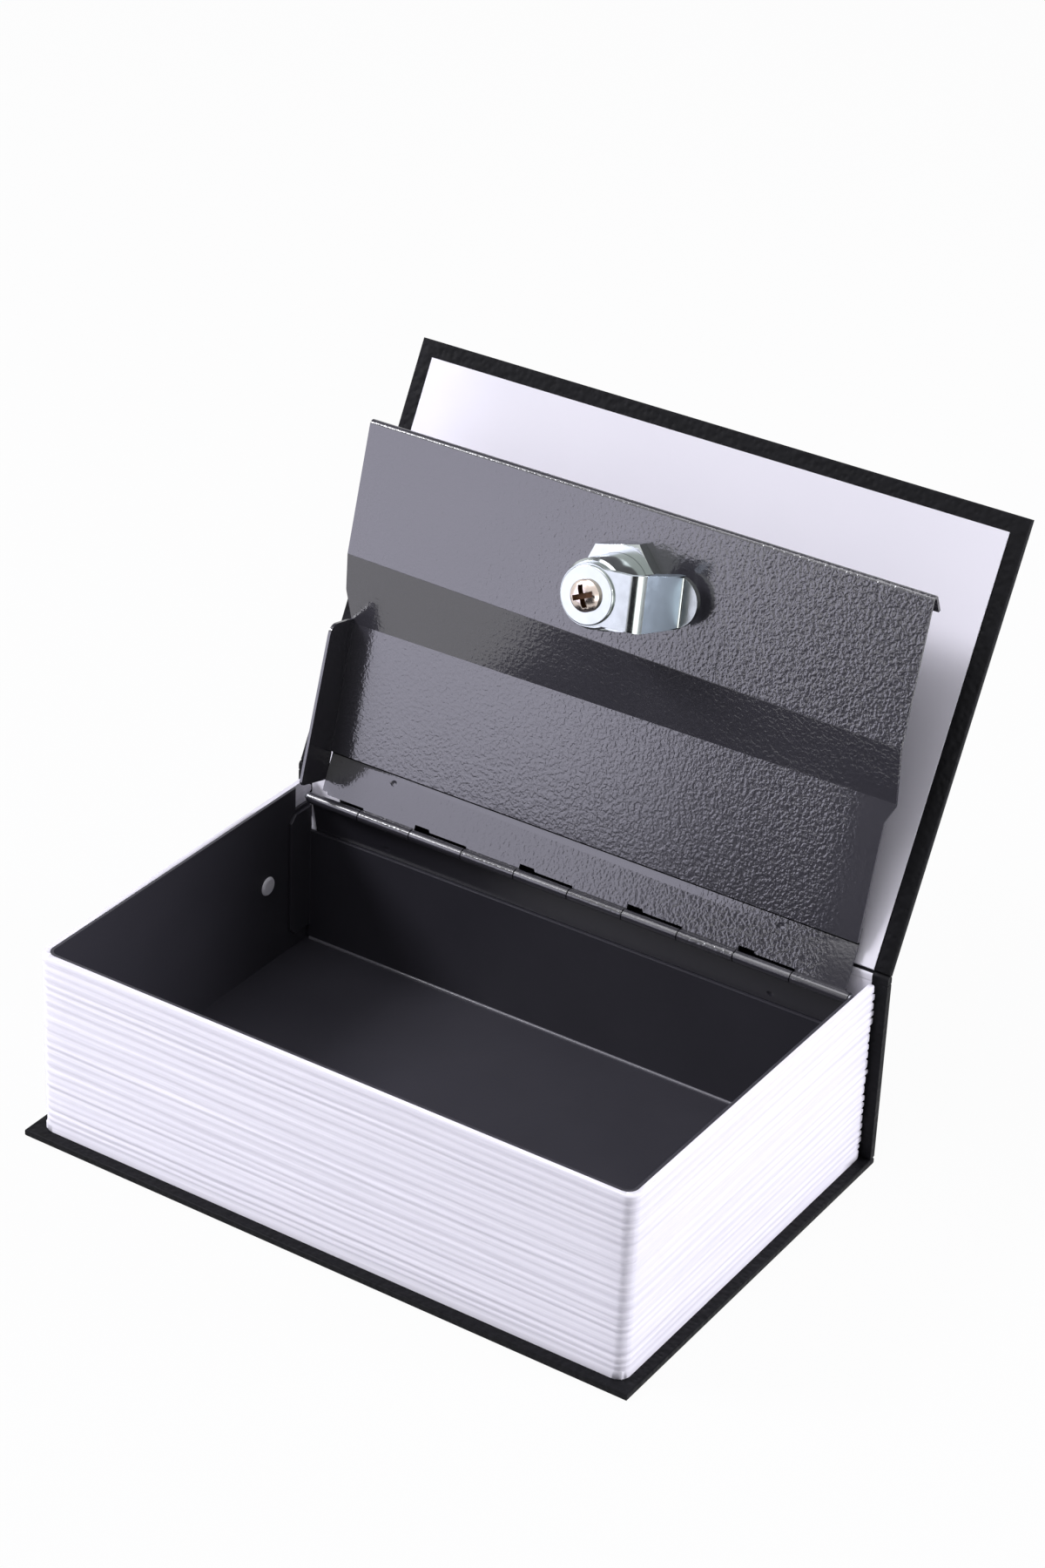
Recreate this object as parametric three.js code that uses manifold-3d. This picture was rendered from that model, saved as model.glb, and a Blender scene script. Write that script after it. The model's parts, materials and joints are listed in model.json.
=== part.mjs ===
import * as THREE from "three";
import { mergeVertices } from "three/addons/utils/BufferGeometryUtils.js";
import Module from "manifold-3d";

const wasm = await Module();
wasm.setup();

// All sizes are in millimetres. The origin is the centre of the bottom board's underside, +Z is up,
// the fore-edge faces -Y and the spine is at +Y.

// Book
const BOOK_LENGTH = 180;
const BOOK_DEPTH = 118;
const BOARD = 2;
const OVERHANG = 3;
const RIM_Z = 54.2;
const COVER_GAP = 0.5;
const JOINT_GAP = 0.3;
const JOINT_FIT = 0.05;
const COVER_LONGER = 1.2;
const COVER_OPEN_DEG = 117.2;
const PAPER = 0.3;
const PAPER_INSET = 4.5;

// Page shell
const SHELL_WALL = 1.5;
const SHELL_FLOOR = 2.2;
const SHELL_CORNER = 3.4;
const SHELL_BACK_WALL_Z = 33;
const RIDGES = 22;
const RIDGE_DEPTH = 0.45;
const RIDGE_END = 1.1;
const RIDGE_BACK_GAP = 0.15;

// Steel tray and back plate
const SEAT = 0.05;
const TRAY_STEEL = 0.8;
const TRAY_CORNER = 3;
const PLATE_STEEL = 1;
const NOTCH_DEPTH = 6.6;
const NOTCH_LENGTH = 6.5;
const TAB_LENGTH = 8.6;
const TAB_Z = [9.5, 46.7];

// Piano hinge
const HINGE_SETBACK = 5.2;
const HINGE_DROP = 3.6;
const KNUCKLES = 10;
const KNUCKLE_R = 1.55;
const KNUCKLE_GAP = 0.3;
const PIN_R = 0.75;
const PIN_HEAD_R = 1.25;
const PIN_HEAD = 0.9;
const RUNNING_FIT = 0.08;
const LEAF_STEEL = 0.6;
const LEAF_SET = 2.1;
const LEAF_LAP = 3.6;
const LEAF_BEND = 1.6;
const LEAF_SETTLE = 0.6;
const RELIEF = { depth: 2, slotDepth: 2.7, slotLength: 4.8 };
const PLATE_EDGE = 11.6;
const WELD_X = 59;
const WELD_R = 1.4;
const WELD_BACK = 2.6;

// Lid
const LID_STEEL = 0.8;
const LID_OPEN_DEG = 105.1;
const LID_START = 13.6;
const LID_FRONT_GAP = 0.75;
const LID_SIDE_GAP = 2.15;
const LID_STEP = 4.35;
const BAND_LEFT_BACK = [55.4, 36.6];
const BAND_RIGHT_BACK = [53.9, 39];
const HINGE_PANEL_INSET = { left: 2, right: 2.1, slope: 4.8 };
const LIP_REACH = 4.4;
const LIP_RISE = 4.6;
const FOLD_R = 0.9;
const FLANGE = { start: 5.6, beyondBand: 1.3, slope: 7.5, deep: 9.6, shallow: 8.2, corner: 3 };

// Cam lock
const LOCK_EDGE = 21.8;
const HEAD_R = 11;
const HEAD_HEIGHT = 3;
const BARREL_R = 9;
const BARREL_FLATS = 16;
const BARREL_LENGTH = 16.5;
const NUT_FLATS = 22;
const NUT_HEIGHT = 4;
const NUT_TURN_DEG = 14.5;
const PLUG_R = 5.5;
const PLUG_HEAD_R = 6.4;
const PLUG_HEAD = 1.9;
const TAIL_SQUARE = 7.4;
const CAM_STEEL = 1.8;
const CAM_REST_DEG = 5;
const CAM_EYE_R = 8;
const CAM_LIFT = 0.15;
const CAM_FOOT = 13.85;
const CAM_FOLD = 13.35;
const CAM_FOLD_R = 2.6;
const CAM_TOE = 18;
const CAM_TOE_R = 1.6;
const CAM_HALF_WIDTHS = { neck: 7.2, leg: 7, knee: 7.3, tip: 6.7 };
const STRIKE_ENTRY = 0.65;
const WASHER = { r: 7.6, bore: 2.1, height: 0.8 };
const SCREW = { r: 4.15, height: 2.2, shank: 1.9, length: 6, slot: 0.7, slotReach: 2.9, turnDeg: 20 };
const WAFERS = 5;
const WAFER = { steel: 0.9, half: 3.2, pitch: 2.2, first: 3, window: [2.6, 6.6] };
const KEYWAY = { width: 2.4, height: 8.4, length: 15.4 };
const STRIKE = { half: 8.5, margin: 0.6 };

// Shell pins
const SHELL_PIN = { head: 2.7, headHeight: 0.6, shank: 1.9, bite: 0.7 };
const SHELL_PIN_Z = 29.6;
const SHELL_PIN_FROM_HINGE = 15.6;
const SHELL_PIN_FROM_SIDE = 27;

// How far the cutting shapes reach past the piece that they cut.
const BEYOND = 40;

// Derived places
const halfLength = BOOK_LENGTH / 2;
const halfDepth = BOOK_DEPTH / 2;
const shellX = halfLength - OVERHANG;
const shellFront = -halfDepth + OVERHANG;
const spineInner = halfDepth - BOARD;
const shellInnerX = shellX - SHELL_WALL;
const shellInnerFront = shellFront + SHELL_WALL;
const shellFloorTop = BOARD + SHELL_FLOOR;
const hingeY = spineInner - HINGE_SETBACK;
const hingeZ = RIM_Z - HINGE_DROP;
const plateInner = hingeY + LEAF_SET;
const plateOuter = plateInner + PLATE_STEEL;
const plateTop = hingeZ - PLATE_EDGE;
const trayX = shellInnerX - SEAT;
const trayFront = shellInnerFront + SEAT;
const trayInnerX = trayX - TRAY_STEEL;
const trayInnerFront = trayFront + TRAY_STEEL;
const trayBottom = shellFloorTop + SEAT;
const trayFloorTop = trayBottom + TRAY_STEEL;
const coverLow = RIM_Z + COVER_GAP;
const jointY = halfDepth - BOARD / 2;
const jointZ = coverLow + BOARD / 2;
const coverReach = jointY + halfDepth + COVER_LONGER;
const lidEdge = hingeY - trayInnerFront - LID_FRONT_GAP;
const lidHalf = trayInnerX - LID_SIDE_GAP;
const hingeLength = 2 * lidHalf;
const hingePanelLeft = lidHalf - HINGE_PANEL_INSET.left;
const hingePanelRight = lidHalf - HINGE_PANEL_INSET.right;
const bandLeft = BAND_LEFT_BACK.map((back) => lidEdge - back);
const bandRight = BAND_RIGHT_BACK.map((back) => lidEdge - back);
const lockS = lidEdge - LOCK_EDGE;
const camTip = LOCK_EDGE + LID_FRONT_GAP + STRIKE_ENTRY;
const lockFace = LID_STEP - LEAF_SET;
const lockOuter = lockFace - LID_STEEL;
const headFace = lockOuter - HEAD_HEIGHT;
const barrelEnd = lockFace + BARREL_LENGTH;
const camLow = barrelEnd + CAM_LIFT;
const camTop = camLow + CAM_STEEL;
const camFootTop = camTop - CAM_FOOT;

const radians = (degrees) => (degrees * Math.PI) / 180;

// A repeatable spread between 0 and 1, for edges that are uneven on purpose.
function spread(index) {
  const value = Math.sin(index * 12.9898) * 43758.5453;
  return value - Math.floor(value);
}

function solid(geometry) {
  const bare = geometry.clone();
  bare.deleteAttribute("normal");
  bare.deleteAttribute("uv");
  const merged = mergeVertices(bare, 1e-4);
  return new wasm.Manifold(
    new wasm.Mesh({
      numProp: 3,
      vertProperties: Float32Array.from(merged.attributes.position.array),
      triVerts: Uint32Array.from(merged.index.array),
    }),
  );
}

function box(low, high) {
  const size = high.map((value, i) => value - low[i]);
  const geometry = new THREE.BoxGeometry(...size);
  geometry.translate(...low.map((value, i) => value + size[i] / 2));
  return solid(geometry);
}

// A round bar along +Z.
function bar(radius, low, high, sides = 32) {
  const geometry = new THREE.CylinderGeometry(radius, radius, high - low, sides);
  geometry.rotateX(Math.PI / 2);
  geometry.translate(0, 0, (low + high) / 2);
  return solid(geometry);
}

// A turned shape about +Z, from a profile of [radius, height] that starts and ends on the axis.
function turned(profile, sides = 40) {
  const points = profile.map(([r, h]) => new THREE.Vector2(r, h));
  const geometry = new THREE.LatheGeometry(points, sides);
  geometry.rotateX(Math.PI / 2);
  return solid(geometry);
}

function prism(points, low, high) {
  const shape = new THREE.Shape(points.map(([a, b]) => new THREE.Vector2(a, b)));
  const geometry = new THREE.ExtrudeGeometry(shape, { depth: high - low, bevelEnabled: false });
  geometry.translate(0, 0, low);
  return solid(geometry);
}

// A solid between an outline in the YZ plane at x0 and a matching one at x1.
function ruled(outline0, outline1, x0, x1) {
  const flat = outline0.map(([a, b]) => new THREE.Vector2(a, b));
  const turn = THREE.ShapeUtils.area(flat) < 0;
  const ends = [outline0, outline1].map((outline) => (turn ? [...outline].reverse() : outline));
  const count = flat.length;
  const positions = [];
  ends.forEach((outline, side) => {
    outline.forEach(([a, b]) => positions.push(side ? x1 : x0, a, b));
  });
  const cap = THREE.ShapeUtils.triangulateShape(
    ends[0].map(([a, b]) => new THREE.Vector2(a, b)),
    [],
  );
  const index = [];
  cap.forEach(([i, j, k]) => index.push(k, j, i, i + count, j + count, k + count));
  for (let i = 0; i < count; i += 1) {
    const j = (i + 1) % count;
    index.push(i, j, j + count, i, j + count, i + count);
  }
  const geometry = new THREE.BufferGeometry();
  geometry.setAttribute("position", new THREE.Float32BufferAttribute(positions, 3));
  geometry.setIndex(index);
  return solid(geometry);
}

// The outline of a folded sheet: straight runs, rounded at each fold, thickened half to each side.
// A fold with a third value has that radius of its own.
function foldedSheet(path, radius, thickness) {
  const steps = 5;
  const points = path.map(([a, b]) => new THREE.Vector2(a, b));
  const radii = path.map(([, , own]) => own ?? radius);
  const centre = [points[0]];
  for (let i = 1; i < points.length - 1; i += 1) {
    const back = points[i - 1].clone().sub(points[i]).normalize();
    const ahead = points[i + 1].clone().sub(points[i]).normalize();
    const half = Math.acos(back.dot(ahead)) / 2;
    const inward = back.clone().add(ahead).normalize();
    const middle = points[i].clone().addScaledVector(inward, radii[i] / Math.sin(half));
    const start = points[i].clone().addScaledVector(back, radii[i] / Math.tan(half)).sub(middle);
    const end = points[i].clone().addScaledVector(ahead, radii[i] / Math.tan(half)).sub(middle);
    const sweep = Math.sign(start.cross(end)) * (Math.PI - 2 * half);
    for (let step = 0; step <= steps; step += 1) {
      const spoke = start.clone().rotateAround(new THREE.Vector2(), (sweep * step) / steps);
      centre.push(middle.clone().add(spoke));
    }
  }
  centre.push(points[points.length - 1]);
  const sides = [[], []];
  centre.forEach((point, i) => {
    const before = centre[Math.max(i - 1, 0)];
    const after = centre[Math.min(i + 1, centre.length - 1)];
    const along = after.clone().sub(before).normalize();
    const across = new THREE.Vector2(-along.y, along.x).multiplyScalar(thickness / 2);
    sides[0].push([point.x + across.x, point.y + across.y]);
    sides[1].push([point.x - across.x, point.y - across.y]);
  });
  return [...sides[0], ...sides[1].reverse()];
}

// A board with softly rounded edges, from one corner to the opposite one.
function board(low, high, soft = 0.45) {
  const size = high.map((value, i) => value - low[i]);
  const shape = new THREE.Shape();
  shape.moveTo(low[0] + soft, low[1] + soft);
  shape.lineTo(high[0] - soft, low[1] + soft);
  shape.lineTo(high[0] - soft, high[1] - soft);
  shape.lineTo(low[0] + soft, high[1] - soft);
  shape.closePath();
  const geometry = new THREE.ExtrudeGeometry(shape, {
    depth: size[2] - 2 * soft,
    bevelThickness: soft,
    bevelSize: soft,
    bevelSegments: 2,
  });
  geometry.translate(0, 0, low[2] + soft);
  return solid(geometry);
}

// An upright block whose two front corners are rounded in plan.
function roundedBlock(halfX, front, back, corner, low, high) {
  const shape = new THREE.Shape();
  shape.moveTo(halfX, back);
  shape.lineTo(-halfX, back);
  shape.absarc(corner - halfX, front + corner, corner, Math.PI, 1.5 * Math.PI, false);
  shape.absarc(halfX - corner, front + corner, corner, 1.5 * Math.PI, 2 * Math.PI, false);
  const settings = { depth: high - low, bevelEnabled: false, curveSegments: 6 };
  const geometry = new THREE.ExtrudeGeometry(shape, settings);
  geometry.translate(0, 0, low);
  return solid(geometry);
}

const parts = new THREE.Group();
parts.name = "book_diversion_safe";

const finishes = {
  leatherette: { color: 0x26262a, roughness: 0.7, metalness: 0 },
  paper: { color: 0xe9e7f3, roughness: 0.85, metalness: 0 },
  shell: { color: 0xf1eff8, roughness: 0.55, metalness: 0 },
  tray: { color: 0x26262c, roughness: 0.5, metalness: 0.1 },
  lid: { color: 0x66656d, roughness: 0.4, metalness: 0.2 },
  zinc: { color: 0xc9cdd2, roughness: 0.2, metalness: 1 },
  brass: { color: 0xb89a55, roughness: 0.3, metalness: 1 },
  wire: { color: 0x8b8d91, roughness: 0.35, metalness: 1 },
};

function add(name, body, finish, placement = null) {
  const mesh = body.simplify(0.002).getMesh();
  const geometry = new THREE.BufferGeometry();
  geometry.setAttribute("position", new THREE.BufferAttribute(Float32Array.from(mesh.vertProperties), 3));
  geometry.setIndex(new THREE.BufferAttribute(Uint32Array.from(mesh.triVerts), 1));
  if (placement) geometry.applyMatrix4(placement);
  geometry.computeVertexNormals();
  const material = new THREE.MeshStandardMaterial({ ...finishes[finish], name: finish });
  const node = new THREE.Mesh(geometry, material);
  node.name = name;
  parts.add(node);
}

// Local frame of a hinged panel: Y runs from the hinge along the panel, Z points into the box.
function hinged(openDegrees, y, z) {
  return new THREE.Matrix4().makeRotationX(Math.PI - radians(openDegrees)).setPosition(0, y, z);
}

const onLid = hinged(LID_OPEN_DEG, hingeY, hingeZ);
const onCover = hinged(COVER_OPEN_DEG, jointY, jointZ);
const onLock = onLid.clone().multiply(new THREE.Matrix4().makeTranslation(0, lockS, 0));
const onCam = onLock.clone().multiply(new THREE.Matrix4().makeRotationZ(radians(CAM_REST_DEG)));

// Case: boards, joint and paper
function addCase() {
  add("bottom_board", board([-halfLength, -halfDepth, 0], [halfLength, halfDepth, BOARD]), "leatherette");
  const spineTop = coverLow - JOINT_GAP;
  const spine = board([-halfLength, spineInner, BOARD], [halfLength, halfDepth, spineTop]);
  add("spine_board", spine, "leatherette");
  const bead = [[spineInner, spineTop], [halfDepth, spineTop]];
  for (let step = 0; step <= 12; step += 1) {
    const angle = (Math.PI * step) / 12;
    bead.push([jointY + (BOARD / 2) * Math.cos(angle), jointZ + (BOARD / 2) * Math.sin(angle)]);
  }
  add("spine_joint", ruled(bead, bead, -halfLength, halfLength), "leatherette");
  const start = BOARD / 2 + JOINT_FIT;
  const low = [-halfLength, start, -BOARD / 2];
  add("front_board", board(low, [halfLength, coverReach, BOARD / 2]), "leatherette", onCover);
  const paperX = halfLength - PAPER_INSET;
  const paperFace = BOARD / 2 + SEAT;
  const paperLow = [-paperX, start + PAPER, paperFace];
  const paperHigh = [paperX, coverReach - PAPER_INSET, paperFace + PAPER];
  add("endpaper", box(paperLow, paperHigh), "paper", onCover);
}

// Height, groove depth and back-end recess of each row of the ridged wall, bottom to top.
function ridgeRows() {
  const weights = Array.from({ length: RIDGES }, (_, i) => 0.65 + 0.7 * spread(i + 1));
  const total = weights.reduce((sum, weight) => sum + weight, 0);
  const rows = [{ z: BOARD, inset: 0.1, recess: RIDGE_END }];
  let z = BOARD;
  weights.forEach((weight, i) => {
    const height = ((RIM_Z - BOARD) * weight) / total;
    const crest = 0.16 * spread(i + 40);
    const recess = RIDGE_END * spread(i + 80);
    rows.push({ z: z + height * 0.22, inset: crest, recess });
    rows.push({ z: z + height * 0.8, inset: crest, recess });
    z += height;
    const valley = RIDGE_DEPTH * (0.6 + 0.4 * spread(i + 120));
    if (i < RIDGES - 1) rows.push({ z, inset: valley, recess: RIDGE_END });
  });
  rows.push({ z: RIM_Z, inset: 0.2, recess: RIDGE_END });
  return rows;
}

// Plan line round the fore-edge and both ends: points on the outer face with their outward normals.
function shellStations() {
  const stations = [{ x: -shellX, y: null, nx: -1, ny: 0 }];
  const steps = 6;
  [-1, 1].forEach((side) => {
    for (let step = 0; step <= steps; step += 1) {
      const share = side < 0 ? step / steps : 1 - step / steps;
      const angle = (Math.PI / 2) * share;
      const nx = side * Math.cos(angle);
      const ny = -Math.sin(angle);
      const x = side * (shellX - SHELL_CORNER) + SHELL_CORNER * nx;
      const y = shellFront + SHELL_CORNER + SHELL_CORNER * ny;
      stations.push({ x, y, nx, ny });
    }
  });
  stations.push({ x: shellX, y: null, nx: 1, ny: 0 });
  return stations;
}

// The ridged wall: each row of the profile is carried round the plan line, and the back ends are
// left uneven like the ends of page bundles.
function ridgedWall() {
  const rows = ridgeRows();
  const stations = shellStations();
  const deep = SHELL_WALL + 1;
  const backEnd = spineInner - RIDGE_BACK_GAP;
  const positions = [];
  stations.forEach(({ x, y, nx, ny }) => {
    rows.forEach(({ z, inset, recess }) => {
      const atY = y === null ? backEnd - recess : y;
      positions.push(x - nx * inset, atY - ny * inset, z);
      positions.push(x - nx * deep, atY - ny * deep, z);
    });
  });
  const at = (station, row, inner) => (station * rows.length + row) * 2 + inner;
  const index = [];
  const quad = (a, b, c, d) => index.push(a, b, c, a, c, d);
  const last = rows.length - 1;
  for (let s = 0; s < stations.length - 1; s += 1) {
    for (let r = 0; r < last; r += 1) {
      quad(at(s, r, 0), at(s + 1, r, 0), at(s + 1, r + 1, 0), at(s, r + 1, 0));
      quad(at(s, r, 1), at(s, r + 1, 1), at(s + 1, r + 1, 1), at(s + 1, r, 1));
    }
    quad(at(s, last, 0), at(s + 1, last, 0), at(s + 1, last, 1), at(s, last, 1));
    quad(at(s, 0, 0), at(s, 0, 1), at(s + 1, 0, 1), at(s + 1, 0, 0));
  }
  const end = stations.length - 1;
  for (let r = 0; r < last; r += 1) {
    quad(at(0, r, 0), at(0, r + 1, 0), at(0, r + 1, 1), at(0, r, 1));
    quad(at(end, r, 0), at(end, r, 1), at(end, r + 1, 1), at(end, r + 1, 0));
  }
  const geometry = new THREE.BufferGeometry();
  geometry.setAttribute("position", new THREE.Float32BufferAttribute(positions, 3));
  geometry.setIndex(index);
  return solid(geometry);
}

// Where each shell pin goes through the steel, and the turn that points it outward.
function shellPinPlaces() {
  const places = [];
  const sideY = hingeY - SHELL_PIN_FROM_HINGE;
  const frontX = shellX - SHELL_PIN_FROM_SIDE;
  [[-1, "left"], [1, "right"]].forEach(([side, label]) => {
    [["back", sideY], ["front", -sideY]].forEach(([end, y]) => {
      const turn = new THREE.Matrix4().makeRotationY((side * Math.PI) / 2);
      const place = turn.setPosition(side * trayInnerX, y, SHELL_PIN_Z);
      places.push({ name: `shell_pin_${label}_${end}`, place });
    });
    const turn = new THREE.Matrix4().makeRotationX(Math.PI / 2);
    const place = turn.setPosition(side * frontX, trayInnerFront, SHELL_PIN_Z);
    places.push({ name: `shell_pin_front_${label}`, place });
  });
  return places;
}

const pinReach = TRAY_STEEL + SEAT + SHELL_PIN.bite;

function pinHoles() {
  return shellPinPlaces().map(({ place }) =>
    bar(SHELL_PIN.shank + SEAT, -1, pinReach + SEAT, 24).transform(place.elements),
  );
}

function addShellPins() {
  const { head, headHeight, shank } = SHELL_PIN;
  const profile = [[0, -headHeight], [head - 0.7, -headHeight], [head - 0.2, -headHeight * 0.6], [head, 0]];
  profile.push([shank, 0], [shank, pinReach], [0, pinReach]);
  shellPinPlaces().forEach(({ name, place }) => add(name, turned(profile, 28), "shell", place));
}

function addShell() {
  const floorX = shellX - 0.9;
  const corner = TRAY_CORNER + SEAT;
  const cavity = roundedBlock(shellInnerX, shellInnerFront, halfDepth, corner, BOARD - 1, RIM_Z + 1);
  let body = ridgedWall().subtract(cavity);
  body = body.add(box([-floorX, shellFront + 0.9, BOARD], [floorX, plateOuter + 0.6, shellFloorTop]));
  body = body.add(box([-floorX, plateOuter + SEAT, BOARD], [floorX, spineInner - 1.1, SHELL_BACK_WALL_Z]));
  body = body.add(box([2 - floorX, plateOuter + 0.5, BOARD], [floorX - 2, spineInner, SHELL_BACK_WALL_Z]));
  pinHoles().forEach((hole) => {
    body = body.subtract(hole);
  });
  add("page_shell", body, "shell");
}

function addTray() {
  const innerCorner = TRAY_CORNER - TRAY_STEEL;
  const inside = [trayInnerX, trayInnerFront, plateOuter + 1, innerCorner, trayFloorTop, RIM_Z + 1];
  let body = roundedBlock(trayX, trayFront, plateOuter, TRAY_CORNER, trayBottom, RIM_Z);
  body = body.subtract(roundedBlock(...inside));
  const notchY = plateOuter - NOTCH_LENGTH;
  const notch = [[-trayX - 1, notchY, RIM_Z - NOTCH_DEPTH], [trayX + 1, plateOuter + 1, RIM_Z + 1]];
  body = body.subtract(box(...notch));
  const strikeTop = hingeZ - camFootTop + CAM_STEEL + STRIKE.margin;
  const strikeLow = hingeZ - camFootTop - STRIKE.margin;
  const strike = [[-STRIKE.half, trayFront - 1, strikeLow], [STRIKE.half, trayInnerFront + 1, strikeTop]];
  body = body.subtract(box(...strike));
  pinHoles().forEach((hole) => {
    body = body.subtract(hole);
  });
  add("tray_pan", body, "tray");
}

function addBackPlate() {
  const halfX = trayInnerX - SEAT;
  let body = box([-halfX, plateInner, trayFloorTop + SEAT], [halfX, plateOuter, plateTop]);
  const tabFront = plateInner - TAB_LENGTH;
  const soft = 2;
  const tab = [
    [plateInner + 0.5, TAB_Z[0]],
    [plateInner + 0.5, TAB_Z[1]],
    [tabFront + soft, TAB_Z[1]],
    [tabFront, TAB_Z[1] - soft],
    [tabFront, TAB_Z[0] + soft],
    [tabFront + soft, TAB_Z[0]],
  ];
  [-1, 1].forEach((side) => {
    const x = [side * halfX, side * (halfX - PLATE_STEEL)].sort((a, b) => a - b);
    body = body.add(ruled(tab, tab, ...x));
  });
  add("back_plate", body, "tray");
}

const knucklePitch = hingeLength / KNUCKLES;

function knuckleSpan(i) {
  const start = -hingeLength / 2 + i * knucklePitch;
  return [start + KNUCKLE_GAP / 2, start + knucklePitch - KNUCKLE_GAP / 2];
}

// A hinge leaf with the pin along X and Y running along the leaf, from x0 to x1. It is rolled round
// the pin, leaning back behind its plate and lapped on it. The side is 1 or -1: where the leaf's back
// lies in Z. The plate's edge is at "edge" along the leaf and its back at "back" from the pin.
function hingeLeaf(first, side, x0, x1, edge, back) {
  const reach = edge + LEAF_LAP;
  const root = KNUCKLE_R - LEAF_STEEL;
  const settled = edge - LEAF_SETTLE;
  const front = [[0, root], [LEAF_BEND, root], [settled, back], [reach, back]];
  const behind = front.map(([y, z]) => [y, z + LEAF_STEEL]);
  const section = [...front, ...behind.reverse()].map(([y, z]) => [y, side * z]);
  let body = ruled(section, section, x0, x1);
  const alongX = new THREE.Matrix4().makeRotationY(Math.PI / 2).elements;
  for (let i = 0; i < KNUCKLES; i += 1) {
    const [start, end] = knuckleSpan(i);
    if (i % 2 === first) {
      body = body.add(bar(KNUCKLE_R, start, end).transform(alongX));
    } else {
      const [left, right] = [start - KNUCKLE_GAP / 2, end + KNUCKLE_GAP / 2];
      const { depth, slotDepth, slotLength } = RELIEF;
      const slotEnd = left + slotLength;
      const relief = [[left, -BEYOND], [right, -BEYOND], [right, depth], [slotEnd, depth]];
      relief.push([slotEnd - 0.4, slotDepth], [left, slotDepth]);
      body = body.subtract(prism(relief, -BEYOND, BEYOND));
    }
  }
  body = body.subtract(bar(PIN_R + RUNNING_FIT, -hingeLength, hingeLength).transform(alongX));
  const weldY = edge - WELD_BACK;
  const weldZ = root + ((back - root) * (weldY - LEAF_BEND)) / (settled - LEAF_BEND);
  [-WELD_X, WELD_X].forEach((x) => {
    const dent = turned([[0, -0.25], [WELD_R * 0.5, -0.2], [WELD_R, 0], [WELD_R * 0.5, 0.2], [0, 0.25]], 20);
    body = body.subtract(dent.translate(x, weldY, side * weldZ));
  });
  return body;
}

function addHinge() {
  const down = new THREE.Matrix4().makeRotationX(-Math.PI / 2).setPosition(0, hingeY, hingeZ);
  const half = hingeLength / 2;
  const leafEnd = half - KNUCKLE_GAP / 2;
  const boxLeaf = hingeLeaf(0, 1, -leafEnd, leafEnd, PLATE_EDGE, LEAF_SET + PLATE_STEEL);
  add("hinge_leaf_box", boxLeaf, "tray", down);
  const besideFlange = -hingePanelLeft + LID_STEEL + SEAT;
  const lidLeaf = hingeLeaf(1, -1, besideFlange, hingePanelRight, LID_START, LEAF_SET + LID_STEEL);
  add("hinge_leaf_lid", lidLeaf, "lid", onLid);
  const headEnd = half + PIN_HEAD;
  const profile = [[0, -headEnd], [PIN_HEAD_R * 0.7, -headEnd], [PIN_HEAD_R, -half - PIN_HEAD * 0.4]];
  profile.push([PIN_HEAD_R, -half], [PIN_R, -half]);
  const mirrored = [...profile].reverse().map(([r, h]) => [r, -h]);
  const wire = turned([...profile, ...mirrored], 24);
  const place = new THREE.Matrix4().makeRotationY(Math.PI / 2).setPosition(0, hingeY, hingeZ);
  add("hinge_pin", wire, "wire", place);
}

// Where the lid's plan is cut: full width at the lock, narrower at the hinge.
function lidPlan() {
  const slopeTop = bandRight[0] - 0.8;
  const plan = [[-hingePanelLeft, 0], [hingePanelRight, 0]];
  plan.push([hingePanelRight, slopeTop - HINGE_PANEL_INSET.slope], [lidHalf, slopeTop]);
  plan.push([lidHalf, lidEdge + BEYOND], [-lidHalf, lidEdge + BEYOND]);
  const flangeEnd = bandLeft[0] + FLANGE.beyondBand;
  plan.push([-lidHalf, flangeEnd + FLANGE.slope], [-hingePanelLeft, flangeEnd]);
  return prism(plan, -BEYOND, BEYOND);
}

function addLid() {
  const hingeMid = -LEAF_SET - LID_STEEL / 2;
  const lockMid = lockFace - LID_STEEL / 2;
  const lipHalf = Math.atan2(LIP_RISE, LIP_REACH) / 2;
  const corner = lidEdge - FOLD_R - LID_STEEL / 2 + FOLD_R / Math.tan(lipHalf);
  const lipEnd = [corner - LIP_REACH - 1.2, lockMid - LIP_RISE];
  const section = ([low, high]) => {
    const path = [[LID_START, hingeMid], [low, hingeMid], [high, lockMid], [corner, lockMid], lipEnd];
    return foldedSheet(path, FOLD_R, LID_STEEL);
  };
  let body = ruled(section(bandLeft), section(bandRight), -lidHalf, lidHalf).intersect(lidPlan());
  const { start, beyondBand, deep, shallow, corner: soft } = FLANGE;
  const end = bandLeft[0] + beyondBand;
  const flange = [[start, hingeMid], [start, deep - 1], [start + 1, deep]];
  for (let step = 0; step <= 5; step += 1) {
    const angle = (Math.PI / 2) * (1 - step / 5);
    flange.push([end - 0.4 - soft + soft * Math.cos(angle), shallow - soft + soft * Math.sin(angle)]);
  }
  flange.push([end, hingeMid]);
  body = body.add(ruled(flange, flange, -hingePanelLeft, -hingePanelLeft + LID_STEEL));
  const flats = BARREL_FLATS / 2 + SEAT;
  const slab = box([-flats, -BEYOND, -BEYOND], [flats, BEYOND, BEYOND]);
  const hole = bar(BARREL_R + SEAT, -BEYOND, BEYOND, 40).intersect(slab);
  body = body.subtract(hole.translate(0, lockS, 0));
  add("lid_panel", body, "lid", onLid);
}

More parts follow.
